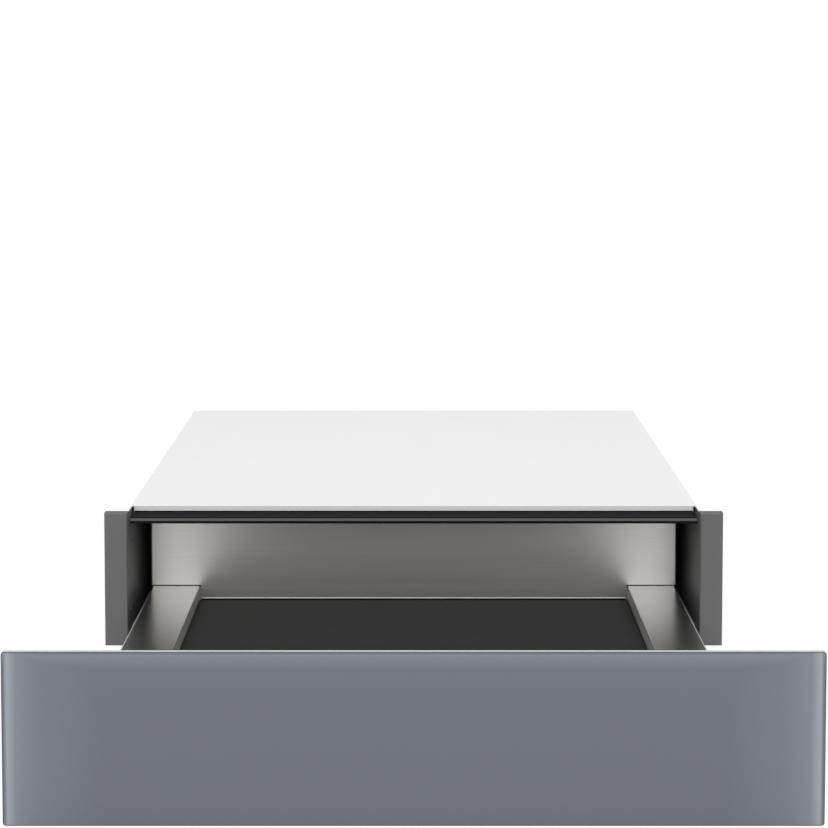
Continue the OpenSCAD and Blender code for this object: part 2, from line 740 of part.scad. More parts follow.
module front_fixing_screws() color("silver") in_drawer() {
    for (x = upper_screw_xs)
        translate([x, 0, upper_screw_z]) screw_y(box_front, screw_reach + box_t);
    for (x = lower_screw_xs)
        translate([x, 0, lower_screw_z]) screw_y(box_front + box_t, screw_reach + 2 * box_t);
}

module front_bumpers() color("#202020") in_drawer() both_sides()
    for (z = bumper_zs)
        translate([bumper_x, 0, z]) bar_y(carrier_rear, carrier_rear + bumper_t, bumper_r);

module glass_bond_strips() color("#303030") in_drawer() {
    half_w = carrier_half_w - bond_inset;
    low = carrier_low + bond_inset;
    high = carrier_high - bond_inset;
    for (z = [low, high - bond_w])
        block([-half_w, glass_rear, z], [half_w, carrier_front, z + bond_w]);
    for (x = row(-half_w, half_w - bond_w, bond_count))
        block([x, glass_rear, low + bond_w + bond_gap],
            [x + bond_w, carrier_front, high - bond_w - bond_gap]);
}

module front_glass() color("slategray") in_drawer() intersection() {
    along_y(glass_front, glass_rear)
        round_rect([-glass_half_w, glass_lift], [glass_half_w, glass_top], glass_corner_r);
    along_x(-glass_half_w, glass_half_w)
        cut_rect([glass_front, glass_lift], [glass_rear, glass_top], glass_arris);
    along_z(glass_lift, glass_top)
        cut_rect([-glass_half_w, glass_front], [glass_half_w, glass_rear], glass_arris);
}

// Push latch

module latch_housing() color("dimgray") difference() {
    union() {
        along_y(housing_front, housing_rear)
            round_rect([-latch_w / 2, -latch_w], [latch_w / 2, latch_top], latch_corner_r);
        block([-latch_foot_w / 2, housing_front + latch_foot_inset, base_top],
            [latch_foot_w / 2, housing_rear, base_top + latch_foot_t]);
    }
    block([-latch_w, housing_front - over, -latch_w - over], [latch_w, housing_rear + over, base_top]);
    translate([0, 0, latch_z])
        bar_y(housing_front - over, housing_rear - latch_wall, plunger_r + plunger_gap);
    for (side = [-1, 1])
        translate([side * latch_stud_x, latch_stud_y, 0])
            bar_z(0, base_top + latch_foot_t + over, stud_r + hole_gap);
}

module latch_plunger() color("#e8e8e8") in_plunger() difference() {
    union() {
        bar_y(tip_y + plunger_step, plunger_rear, plunger_r);
        bar_y(tip_y, tip_y + 2 * plunger_step, plunger_r - plunger_step);
    }
    bar_y(spring_floor, plunger_rear + over, spring_hole_r);
}

// The spring is one tube swept along a helix about the plunger's axis
helix_r = spring_r - wire_d / 2;
helix_play = 0.1;
helix_l = housing_rear - latch_wall - spring_front - wire_d - 2 * helix_play;
helix_steps = 12;
helix_sides = 6;
helix_rings = spring_turns * helix_steps;
function helix_ring(i) =
    let (turn = 360 * i / helix_steps, y = helix_l * i / helix_rings)
    [for (k = [0 : helix_sides - 1])
        let (a = 360 * k / helix_sides, r = helix_r + wire_d / 2 * cos(a))
        [r * cos(turn), y + wire_d / 2 * sin(a), r * sin(turn)]];
function helix_side(i, k) =
    let (a = i * helix_sides + k, b = i * helix_sides + (k + 1) % helix_sides)
    [[a, b, b + helix_sides], [a, b + helix_sides, a + helix_sides]];

module latch_spring() color("silver")
    translate([0, spring_front + wire_d / 2 + helix_play, latch_z])
        polyhedron(
            points = [for (i = [0 : helix_rings]) each helix_ring(i)],
            faces = concat(
                [for (i = [0 : helix_rings - 1], k = [0 : helix_sides - 1]) each helix_side(i, k)],
                [[for (k = [helix_sides - 1 : -1 : 0]) k]],
                [[for (k = [0 : helix_sides - 1]) helix_rings * helix_sides + k]]
            )
        );

module latch_striker() color("silver") in_drawer() difference() {
    along_y(box_rear + box_t, box_rear + box_t + striker_t)
        round_rect([-striker_w / 2, latch_z - striker_h / 2], [striker_w / 2, latch_z + striker_h / 2],
            latch_corner_r);
    for (side = [-1, 1])
        translate([side * striker_rivet_x, 0, latch_z])
            bar_y(box_rear, box_rear + box_t + striker_t + over, rivet_r + hole_gap);
}

module striker_rivets() color("silver") in_drawer()
    for (side = [-1, 1])
        translate([side * striker_rivet_x, box_rear + box_t + striker_t, latch_z])
            rotate([0, 0, 90]) rivet_x(0, striker_t + box_t);

casing_base();
casing_side_left();
casing_side_right();
casing_back();
casing_top();
top_front_rail();
casing_rivets();
stud_nuts();
slide_bracket_left();
slide_bracket_right();
slide_outer_left();
slide_outer_right();
slide_rivets_fixed();
slide_rear_buffers();
slide_middle_left();
slide_middle_right();
ball_cage_outer_left();
ball_cage_outer_right();
ball_cage_inner_left();
ball_cage_inner_right();
slide_inner_left();
slide_inner_right();
slide_rivets_drawer();
drawer_floor();
side_ledge_left();
side_ledge_right();
drawer_back();
drawer_front_wall();
anti_slip_mat();
mat_retaining_strip();
front_carrier();
front_fixing_screws();
front_bumpers();
glass_bond_strips();
front_glass();
latch_housing();
latch_plunger();
latch_spring();
latch_striker();
striker_rivets();
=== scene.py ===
"""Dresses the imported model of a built-in storage drawer and sets it in a plain pale studio."""
import json
import math

import bmesh
import bpy
from bpy.props import FloatProperty, FloatVectorProperty, IntProperty, PointerProperty
from mathutils import Matrix, Vector


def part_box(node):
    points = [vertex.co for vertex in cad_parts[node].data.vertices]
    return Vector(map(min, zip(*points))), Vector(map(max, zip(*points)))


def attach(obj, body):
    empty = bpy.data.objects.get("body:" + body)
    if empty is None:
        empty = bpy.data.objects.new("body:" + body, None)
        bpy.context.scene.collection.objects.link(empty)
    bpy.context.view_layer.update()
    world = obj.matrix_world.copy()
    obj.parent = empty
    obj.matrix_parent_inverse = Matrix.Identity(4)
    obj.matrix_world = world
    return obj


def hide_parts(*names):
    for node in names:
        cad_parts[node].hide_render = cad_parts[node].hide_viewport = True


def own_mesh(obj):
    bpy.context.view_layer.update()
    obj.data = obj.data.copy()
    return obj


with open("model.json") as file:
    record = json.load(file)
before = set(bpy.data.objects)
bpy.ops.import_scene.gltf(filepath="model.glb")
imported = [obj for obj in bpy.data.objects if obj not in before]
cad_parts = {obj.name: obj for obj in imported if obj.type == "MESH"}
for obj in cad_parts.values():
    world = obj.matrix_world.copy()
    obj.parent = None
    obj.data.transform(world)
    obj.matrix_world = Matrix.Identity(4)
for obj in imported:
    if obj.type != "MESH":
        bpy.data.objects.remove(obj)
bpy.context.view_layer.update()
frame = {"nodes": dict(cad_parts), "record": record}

bl_info = {
    "name": "Built-in storage drawer",
    "version": (1, 0, 0),
    "blender": (4, 5, 0),
    "location": "3D View > Sidebar > Drawer",
    "description": "Builds the visible pieces and finishes of a built-in storage drawer",
    "category": "Add Mesh",
}

MM = 0.001
SMOOTH_ANGLE = math.radians(35)
FOLD_ANGLE = math.radians(57)
CLOSE = 1e-5
SAME_PLACE = CLOSE / 10
ROLL_ANGLE = math.radians(300)
ROLL_STEPS = 14
FLOOR_RADIUS = 9.0
FLOOR_DROP = 0.0003
CAMERA_PLACE = (0.0, -1.9331, 0.5394)
CAMERA_DIP = math.radians(3.219)

# Colours


def srgb(code):
    """Turns an sRGB hex colour into the linear RGBA that shaders take."""
    parts = [int(code[i:i + 2], 16) / 255 for i in (1, 3, 5)]
    return tuple(c / 12.92 if c <= 0.04045 else ((c + 0.055) / 1.055) ** 2.4 for c in parts) + (1.0,)


def tinted(colour, factor):
    """The same colour, lighter or darker."""
    return tuple(min(c * factor, 1.0) for c in tuple(colour)[:3]) + (1.0,)


def colour_property(name, description, code):
    return FloatVectorProperty(
        name=name, description=description, subtype="COLOR", size=3, min=0, max=1,
        default=srgb(code)[:3])


def length_property(name, description, millimetres):
    return FloatProperty(
        name=name, description=description, subtype="DISTANCE", unit="LENGTH", min=0,
        default=millimetres * MM)


class DrawerSizes(bpy.types.PropertyGroup):
    """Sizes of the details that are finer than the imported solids."""

    sheet: length_property("Sheet", "Thickness of the steel sheet", 1.0)
    fold: length_property("Fold", "Outside radius of the folds", 1.6)
    fold_steps: IntProperty(name="Fold steps", description="Facets across a fold", default=6, min=1)
    glass_corner: length_property("Glass corner", "Radius of the glass panel's corners", 2.5)
    glass_arris: length_property("Arris", "Width of the polished bevel round the glass", 0.3)
    glass_rim: length_property("Bare rim", "Width of the rim that the enamel leaves bare", 1.3)
    # How far the painted light near the glass edges reaches
    painted_glow_reach: length_property("Edge light", "How far light from the edges shows in the glass", 72)
    fold_depth: length_property("Outer fold", "Height of the fold along a ledge's outer edge", 9)
    ledge_stop: length_property("Ledge end", "How far a ledge stops short of the drawer back", 0.8)
    back_fold: length_property("Back fold", "Height where the drawer back's lower folds start", 35.2)
    flange_depth: length_property("Flange depth", "Depth of the casing's front flanges", 10)
    hem_start: length_property("Hem start", "Distance of the top's hems behind the flanges", 31.5)
    hem_end: length_property("Hem end", "Distance of the top's hems from its back edge", 3)
    niche_hole: length_property("Cabinet hole", "Radius of the holes for cabinet screws", 2.25)
    niche_depth: length_property("Hole depth", "Distance of those holes behind the flanges", 20)
    niche_spacing: length_property("Hole spacing", "Distance between the two holes of a side", 67)
    mat_corner: length_property("Mat corner", "Radius of the mat's corners", 2)
    mat_edge: length_property("Mat edge", "Rounding of the mat's upper edge", 0.5)
    strip_edge: length_property("Strip edge", "Depth of the strip's upright edge", 0.9)
    strip_round: length_property("Strip rounding", "Radius of that edge's front", 0.8)
    strip_foot: length_property("Strip foot", "Height of the strip's foot in front of it", 0.5)
    bead: length_property("Bead", "Outside radius of the rail's rolled edge", 1.5)
    rail_back: length_property("Rail back", "Height of the fold at the back of the rail", 5)
    rail_drop: length_property("Rail drop", "Height of the casing's top above the rail", 4.7)
    lid_start: length_property("Lid start", "Distance of the casing's top behind the flanges", 20)
    lid_foot: length_property("Lid foot", "Depth of the fold with which it lies on the rail", 8)


class DrawerColours(bpy.types.PropertyGroup):
    """Colours of the finishes."""

    glass: colour_property("Glass", "Enamel seen through the glass panel", "#5d6169")
    # Painted light: the enamel's colour near the side edges, lighter to stand in for light that the
    # polished edges let in
    glass_painted_glow: colour_property("Glass edge", "Enamel near the glass panel's side edges", "#8a9198")
    glass_bare: colour_property("Bare rim", "Rim of the glass panel that has no enamel", "#44484f")
    stainless: colour_property("Stainless", "Brushed stainless steel", "#cdccca")
    galvanised: colour_property("Galvanised", "Zinc-coated sheet", "#d3d5d7")
    casing: colour_property("Casing", "Powder coat on the casing's sides", "#5c5c5c")
    rail: colour_property("Rail", "Enamel on the top front rail", "#1a1a1a")
    zinc: colour_property("Slides", "Zinc plating on slides and fasteners", "#c3c5c8")
    lid: colour_property("Lid", "Stoved enamel on the casing's top", "#dadada")
    rubber: colour_property("Mat", "Rubber of the anti-slip mat", "#151414")


# Materials


def add(tree, kind, values=None, **settings):
    """Adds a node, sets its options, and sets or links the sockets named in values."""
    node = tree.nodes.new(kind)
    for key, value in settings.items():
        if key == "stops":
            ramp = node.color_ramp
            while len(ramp.elements) < len(value):
                ramp.elements.new(1.0)
            for element, (position, colour) in zip(ramp.elements, value):
                element.position = position
                element.color = colour
        else:
            setattr(node, key, value)
    for key, value in (values or {}).items():
        if isinstance(value, bpy.types.NodeSocket):
            tree.links.new(value, node.inputs[key])
        else:
            node.inputs[key].default_value = value
    return node


def new_material(name, values):
    """A material with its node tree and its shader, whose constant sockets are set."""
    material = bpy.data.materials.new(name)
    material.use_nodes = True
    tree = material.node_tree
    shader = tree.nodes["Principled BSDF"]
    for key, value in values.items():
        shader.inputs[key].default_value = value
    return material, tree, shader


def link(tree, shader, **sockets):
    """Links outputs into the shader, named with underscores for spaces."""
    for key, output in sockets.items():
        tree.links.new(output, shader.inputs[key.replace("_", " ")])


def brushed_metal(name, colour, roughness, grain, depth, contrast=0.05):
    """Sheet steel with a directional grain.

    grain gives the length of a scratch in metres along X, Y and Z. Fine scratches spread a
    reflection across the grain and leave faint light and dark lines along it.
    """
    material, tree, shader = new_material(name, {"Metallic": 1.0})
    place = add(tree, "ShaderNodeTexCoord").outputs["Object"]
    scale = tuple(1 / length for length in grain)
    lines = add(tree, "ShaderNodeMapping", {"Vector": place, "Scale": scale})
    fine = add(tree, "ShaderNodeTexNoise",
               {"Vector": lines.outputs[0], "Scale": 1.0, "Detail": 3.0, "Roughness": 0.65})
    broad = add(tree, "ShaderNodeTexNoise",
                {"Vector": lines.outputs[0], "Scale": 0.23, "Detail": 2.0, "Roughness": 0.5})
    tone = add(tree, "ShaderNodeValToRGB", {"Fac": fine.outputs["Fac"]},
               stops=[(0.3, tinted(colour, 1 - contrast)), (0.7, tinted(colour, 1 + contrast))])
    spread = add(tree, "ShaderNodeMapRange",
                 {"Value": broad.outputs["Fac"], "From Min": 0.3, "From Max": 0.7,
                  "To Min": roughness - contrast / 3, "To Max": roughness + contrast / 3})
    bump = add(tree, "ShaderNodeBump",
               {"Height": fine.outputs["Fac"], "Strength": 1.0, "Distance": depth})
    link(tree, shader, Base_Color=tone.outputs["Color"], Roughness=spread.outputs["Result"],
         Normal=bump.outputs["Normal"])
    return material


def galvanised_steel(colours):
    """Hot-dip galvanised sheet: zinc crystals about 7 mm across catch the light differently."""
    material, tree, shader = new_material("galvanised_sheet", {"Metallic": 1.0})
    place = add(tree, "ShaderNodeTexCoord").outputs["Object"]
    crystals = add(tree, "ShaderNodeTexVoronoi", {"Vector": place, "Scale": 1 / 0.007},
                   feature="F1", distance="EUCLIDEAN")
    crystal = add(tree, "ShaderNodeSeparateColor", {"Color": crystals.outputs["Color"]})
    cloud = add(tree, "ShaderNodeTexNoise",
                {"Vector": place, "Scale": 1 / 0.05, "Detail": 4.0, "Roughness": 0.6})
    both = add(tree, "ShaderNodeMath",
               {0: crystal.outputs["Red"], 1: cloud.outputs["Fac"]}, operation="MULTIPLY")
    tone = add(tree, "ShaderNodeValToRGB", {"Fac": both.outputs[0]},
               stops=[(0.0, tinted(colours.galvanised, 0.93)), (0.6, tinted(colours.galvanised, 1.04))])
    spread = add(tree, "ShaderNodeMapRange",
                 {"Value": crystal.outputs["Green"], "To Min": 0.34, "To Max": 0.48})
    bump = add(tree, "ShaderNodeBump",
               {"Height": crystals.outputs["Distance"], "Strength": 0.25, "Distance": 0.00003})
    link(tree, shader, Base_Color=tone.outputs["Color"], Roughness=spread.outputs["Result"],
         Normal=bump.outputs["Normal"])
    return material


def coated_steel(name, colour, roughness, values, contrast=0.03):
    """Stoved powder coat: a skin with an orange peel about 1.2 mm across, drawn a little coarse."""
    material, tree, shader = new_material(name, values)
    place = add(tree, "ShaderNodeTexCoord").outputs["Object"]
    peel = add(tree, "ShaderNodeTexNoise",
               {"Vector": place, "Scale": 1 / 0.0012, "Detail": 2.0, "Roughness": 0.5})
    cloud = add(tree, "ShaderNodeTexNoise",
                {"Vector": place, "Scale": 1 / 0.08, "Detail": 3.0, "Roughness": 0.55})
    tone = add(tree, "ShaderNodeValToRGB", {"Fac": cloud.outputs["Fac"]},
               stops=[(0.3, tinted(colour, 1 - contrast)), (0.7, tinted(colour, 1 + contrast))])
    spread = add(tree, "ShaderNodeMapRange",
                 {"Value": cloud.outputs["Fac"], "From Min": 0.3, "From Max": 0.7,
                  "To Min": roughness - contrast, "To Max": roughness + contrast})
    bump = add(tree, "ShaderNodeBump",
               {"Height": peel.outputs["Fac"], "Strength": 0.5, "Distance": 0.00002})
    link(tree, shader, Base_Color=tone.outputs["Color"], Roughness=spread.outputs["Result"],
         Normal=bump.outputs["Normal"])
    return material


def moulded(name, colour, roughness, grit, depth, values):
    """Rubber or plastic from a textured mould: a fine even grit that dulls the surface."""
    material, tree, shader = new_material(name, values)
    place = add(tree, "ShaderNodeTexCoord").outputs["Object"]
    grain = add(tree, "ShaderNodeTexNoise",
                {"Vector": place, "Scale": 1 / grit, "Detail": 3.0, "Roughness": 0.6})
    cloud = add(tree, "ShaderNodeTexNoise",
                {"Vector": place, "Scale": 1 / (grit * 60), "Detail": 3.0, "Roughness": 0.6})
    tone = add(tree, "ShaderNodeValToRGB", {"Fac": cloud.outputs["Fac"]},
               stops=[(0.3, tinted(colour, 0.94)), (0.7, tinted(colour, 1.06))])
    spread = add(tree, "ShaderNodeMapRange",
                 {"Value": grain.outputs["Fac"], "From Min": 0.3, "From Max": 0.7,
                  "To Min": roughness - 0.05, "To Max": roughness + 0.05})
    bump = add(tree, "ShaderNodeBump",
               {"Height": grain.outputs["Fac"], "Strength": 0.6, "Distance": depth})
    link(tree, shader, Base_Color=tone.outputs["Color"], Roughness=spread.outputs["Result"],
         Normal=bump.outputs["Normal"])
    return material


def panel_glass(colours, sizes, low, high):
    """Float glass with grey-blue enamel fired on its back: mirror smooth, its colour even but for
    painted light near the polished edges, a lighter colour standing in for the light they let in,
    which fades over a few centimetres, and for a narrow darker rim that the enamel leaves bare."""
    material, tree, shader = new_material(
        "back_enamelled_glass", {"Roughness": 0.04, "IOR": 1.52})
    place = add(tree, "ShaderNodeTexCoord").outputs["Object"]
    axes = add(tree, "ShaderNodeSeparateXYZ", {"Vector": place})
    side = add(tree, "ShaderNodeMath", {0: axes.outputs["X"]}, operation="ABSOLUTE")
    from_side = add(tree, "ShaderNodeMapRange",
                    {"Value": side.outputs[0], "From Min": high.x, "From Max": high.x - sizes.painted_glow_reach})
    from_top = add(tree, "ShaderNodeMapRange",
                   {"Value": axes.outputs["Z"], "From Min": high.z,
                    "From Max": high.z - sizes.painted_glow_reach})
    # The painted light fades quickly at first and then slowly, so it follows 1 / distance more than a line
    side_painted_glow = add(tree, "ShaderNodeValToRGB", {"Fac": from_side.outputs["Result"]},
                    stops=[(0.022, (0.0, 0.0, 0.0, 1.0)), (0.05, (1.0, 1.0, 1.0, 1.0)),
                           (0.065, (1.0, 1.0, 1.0, 1.0)), (0.15, (0.40, 0.40, 0.40, 1.0)),
                           (0.40, (0.17, 0.17, 0.17, 1.0)), (1.0, (0.0, 0.0, 0.0, 1.0))])
    top_painted_glow = add(tree, "ShaderNodeValToRGB", {"Fac": from_top.outputs["Result"]},
                   stops=[(0.012, (0.0, 0.0, 0.0, 1.0)), (0.03, (0.38, 0.38, 0.38, 1.0)),
                          (0.06, (0.29, 0.29, 0.29, 1.0)), (0.18, (0.04, 0.04, 0.04, 1.0)),
                          (0.5, (0.0, 0.0, 0.0, 1.0))])
    glow = add(tree, "ShaderNodeMath",
               {0: side_painted_glow.outputs["Color"], 1: top_painted_glow.outputs["Color"]}, operation="MAXIMUM")
    # The enamel is mixed towards the lighter colour where the painted light lies
    tone = add(tree, "ShaderNodeMix",
               {0: glow.outputs[0], 6: tinted(colours.glass, 1), 7: tinted(colours.glass_painted_glow, 1)},
               data_type="RGBA")
    height = add(tree, "ShaderNodeMath", {0: axes.outputs["Z"], 1: (low.z + high.z) / 2},
                 operation="SUBTRACT")
    height = add(tree, "ShaderNodeMath", {0: height.outputs[0]}, operation="ABSOLUTE")
    rims = [add(tree, "ShaderNodeMapRange",
                {"Value": distance.outputs[0], "From Min": reach - sizes.glass_rim, "From Max": reach})
            for distance, reach in ((side, high.x), (height, (high.z - low.z) / 2))]
    rim = add(tree, "ShaderNodeMath",
              {0: rims[0].outputs["Result"], 1: rims[1].outputs["Result"]}, operation="MAXIMUM")
    tone = add(tree, "ShaderNodeMix",
               {0: rim.outputs[0], 6: tone.outputs[2], 7: tinted(colours.glass_bare, 1)},
               data_type="RGBA")
    link(tree, shader, Base_Color=tone.outputs[2])
    return material


def polished_edge(name, dark, light):
    """Ground and polished glass edge, with the faint waves that the wheel leaves."""
    material, tree, shader = new_material(name, {"IOR": 1.52})
    place = add(tree, "ShaderNodeTexCoord").outputs["Object"]
    waves = add(tree, "ShaderNodeTexNoise",
                {"Vector": place, "Scale": 1 / 0.004, "Detail": 2.0, "Roughness": 0.5})
    tone = add(tree, "ShaderNodeValToRGB", {"Fac": waves.outputs["Fac"]},
               stops=[(0.3, srgb(dark)), (0.7, srgb(light))])
    spread = add(tree, "ShaderNodeMapRange",
                 {"Value": waves.outputs["Fac"], "To Min": 0.08, "To Max": 0.16})
    link(tree, shader, Base_Color=tone.outputs["Color"], Roughness=spread.outputs["Result"])
    return material


FINISHES = {}


def make_finishes(colours, sizes):
    """Makes every material once."""
    along_x = (0.09, 0.0011, 0.0011)
    along_y = (0.0011, 0.09, 0.0011)
    FINISHES.update({
        "brushed_x": brushed_metal(
            "stainless_brushed_across", colours.stainless,
            roughness=0.38, grain=along_x, depth=0.000005, contrast=0.03),
        # The ledges get a darker copy of the stainless: painted shade
        "brushed_y": brushed_metal(
            "stainless_brushed_lengthwise_painted_shade", tinted(colours.stainless, 0.78),
            roughness=0.27, grain=along_y, depth=0.0000004, contrast=0.006),
        "ledge_skirt": brushed_metal(
            "stainless_brushed_skirt", tinted(colours.stainless, 0.98),
            roughness=0.55, grain=along_y, depth=0.000002, contrast=0.012),
        # A lighter copy of the stainless: painted highlight on the ledges' outer folds
        "ledge_fold_painted_highlight": brushed_metal(
            "stainless_fold_painted_highlight", tinted(colours.stainless, 1.2),
            roughness=0.5, grain=along_y, depth=0.0000004, contrast=0.006),
        # A lighter copy of the stainless: painted highlight on the strip's rounded edge
        "strip": brushed_metal(
            "stainless_strip_painted_highlight", tinted(colours.stainless, 1.1),
            roughness=0.3, grain=along_x, depth=0.000002, contrast=0.02),
        "galvanised": galvanised_steel(colours),
        "casing": coated_steel("powder_coat_grey", colours.casing, roughness=0.42, values={}),
        "rail": coated_steel(
            "enamel_near_black", colours.rail, roughness=0.6, values={"Specular IOR Level": 0.04}),
        # A lighter copy of the rail's enamel: painted highlight on the rolled edge
        "rail_bead_painted_highlight": coated_steel(
            "enamel_painted_highlight", srgb("#363636"), roughness=0.34, values={}),
        "lid": coated_steel(
            "stoved_enamel_white", colours.lid,
            roughness=0.6, values={"Specular IOR Level": 0.1}, contrast=0.005),
        "slide": brushed_metal(
            "zinc_plated_rolled_steel", colours.zinc,
            roughness=0.32, grain=(0.0008, 0.05, 0.0008), depth=0.00001, contrast=0.04),
        "cage": brushed_metal(
            "bright_rolled_strip", srgb("#c8c9cb"),
            roughness=0.18, grain=(0.0006, 0.03, 0.0006), depth=0.000005, contrast=0.03),
        "fastener": brushed_metal(
            "zinc_plated_turned_steel", colours.zinc,
            roughness=0.28, grain=(0.0007, 0.0007, 0.0007), depth=0.000006),
        "spring": brushed_metal(
            "drawn_spring_wire", srgb("#a9abae"),
            roughness=0.24, grain=(0.0005, 0.0005, 0.0005), depth=0.000004),
        "mat": moulded(
            "nitrile_rubber_mat", colours.rubber, roughness=0.62, grit=0.0011, depth=0.00006,
            values={"Sheen Weight": 0.02, "Sheen Roughness": 0.5, "Specular IOR Level": 0.22}),
        "tape": moulded(
            "acrylic_foam_tape", srgb("#2b2b2c"), roughness=0.8, grit=0.0009, depth=0.00005,
            values={"Specular IOR Level": 0.3}),
        "bumper": moulded(
            "moulded_rubber", srgb("#232323"), roughness=0.68, grit=0.0008, depth=0.00003, values={}),
        "latch": moulded(
            "glass_filled_nylon", srgb("#48494b"), roughness=0.48, grit=0.0007, depth=0.00002,
            values={}),
        "plunger": moulded(
            "acetal", srgb("#deddd9"), roughness=0.33, grit=0.0007, depth=0.000006, values={}),
        "glass": panel_glass(colours, sizes, *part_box("front_glass")),
        # Lit and shaded copies of one polished edge: the edge is painted light, the front arris painted
        # shade
        "glass_edge": polished_edge("glass_edge_painted_light", dark="#b6bcbe", light="#c2c8ca"),
        "glass_arris": polished_edge("glass_arris_painted_shade", dark="#343a3e", light="#3c4246"),
        "enamel": coated_steel("fired_enamel_back", colours.glass, roughness=0.3, values={}),
    })


# Mesh tools


def slab(low, high):
    """A box between two corners."""
    bm = bmesh.new()
    bmesh.ops.create_cube(bm, size=1.0)
    bmesh.ops.scale(bm, vec=high - low, verts=bm.verts)
    bmesh.ops.translate(bm, vec=(low + high) / 2, verts=bm.verts)
    return bm


def verts_among(parts):
    """The vertices in what an extrusion made."""
    return [part for part in parts if isinstance(part, bmesh.types.BMVert)]


def bar(low, high, profile):
    """A bar along X between two corners, with a profile of places in Y and Z."""
    bm = bmesh.new()
    end = bm.faces.new([bm.verts.new((low.x, y, z)) for y, z in profile])
    made = bmesh.ops.extrude_face_region(bm, geom=[end])["geom"]
    bmesh.ops.translate(bm, vec=(high.x - low.x, 0, 0), verts=verts_among(made))
    bmesh.ops.recalc_face_normals(bm, faces=bm.faces)
    return bm


def sheet_edge(bm, points):
    """A row of vertices joined by edges, which a fold or a pull turns into sheet."""
    verts = [bm.verts.new(point) for point in points]
    return [bm.edges.new(pair) for pair in zip(verts, verts[1:])]


def pull(bm, edges, offset):
    """Extrudes edges by an offset and returns the edges at the far side."""
    made = bmesh.ops.extrude_edge_only(bm, edges=edges)["geom"]
    bmesh.ops.translate(bm, vec=offset, verts=verts_among(made))
    return [part for part in made if isinstance(part, bmesh.types.BMEdge)]


def cut(bm, place, direction):
    """Cuts every face along a plane and keeps both sides."""
    bmesh.ops.bisect_plane(bm, geom=bm.verts[:] + bm.edges[:] + bm.faces[:], dist=SAME_PLACE,
                           plane_co=place, plane_no=direction)


def runs_along(edge, axis):
    """True where an edge is parallel to an axis."""
    span = edge.verts[1].co - edge.verts[0].co
    others = (span[(axis + 1) % 3], span[(axis + 2) % 3])
    return abs(span[axis]) > CLOSE and all(abs(other) < CLOSE for other in others)


def lies_at(part, axis, value):
    """True where every vertex of an edge or face has a coordinate."""
    return all(abs(vert.co[axis] - value) < CLOSE for vert in part.verts)


def rounded(bm, edges, radius, steps):
    """Rounds edges, or cuts them off where steps is 1."""
    bmesh.ops.bevel(bm, geom=edges, offset=radius, offset_type="OFFSET", affect="EDGES",
                    segments=steps, profile=0.5, material=-1, clamp_overlap=False)


def thicken(bm, thickness, guide):
    """Gives an open sheet its thickness, behind the side whose largest face looks along guide."""
    bmesh.ops.remove_doubles(bm, verts=bm.verts, dist=SAME_PLACE)
    bmesh.ops.recalc_face_normals(bm, faces=bm.faces)
    bm.normal_update()
    widest = max(bm.faces, key=lambda face: face.calc_area() * (abs(face.normal.dot(guide)) > 0.9))
    if widest.normal.dot(guide) < 0:
        bmesh.ops.reverse_faces(bm, faces=bm.faces)
    bm.normal_update()
    bmesh.ops.solidify(bm, geom=bm.faces[:] + bm.edges[:] + bm.verts[:], thickness=thickness)
    # Corners where folds meet get two vertices in one place
    bmesh.ops.remove_doubles(bm, verts=bm.verts, dist=CLOSE)


def finished(bm, name, finishes, body, slot, *nodes):
    """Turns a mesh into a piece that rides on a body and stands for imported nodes."""
    mesh = bpy.data.meshes.new(name)
    bm.to_mesh(mesh)
    bm.free()
    mesh.polygons.foreach_set("use_smooth", [True] * len(mesh.polygons))
    mesh.set_sharp_from_angle(angle=SMOOTH_ANGLE)
    for finish in finishes:
        mesh.materials.append(FINISHES[finish])
    piece = bpy.data.objects.new(name, mesh)
    bpy.context.scene.collection.objects.link(piece)
    weights = piece.modifiers.new("even_shading", "WEIGHTED_NORMAL")
    weights.keep_sharp = True
    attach(piece, body)
    if nodes:
        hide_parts(*nodes)
    return piece


def merged_copy(name, finish, body, slot, node):
    """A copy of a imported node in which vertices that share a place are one."""
    source = frame["nodes"][node]
    bm = bmesh.new()
    bm.from_mesh(source.data)
    bm.transform(source.matrix_world)
    bmesh.ops.remove_doubles(bm, verts=bm.verts, dist=CLOSE)
    return finished(bm, name, (finish,), body, slot, node)


def drawer_settings(context):
    return context.scene.drawer_sizes, context.scene.drawer_colours


# Pieces


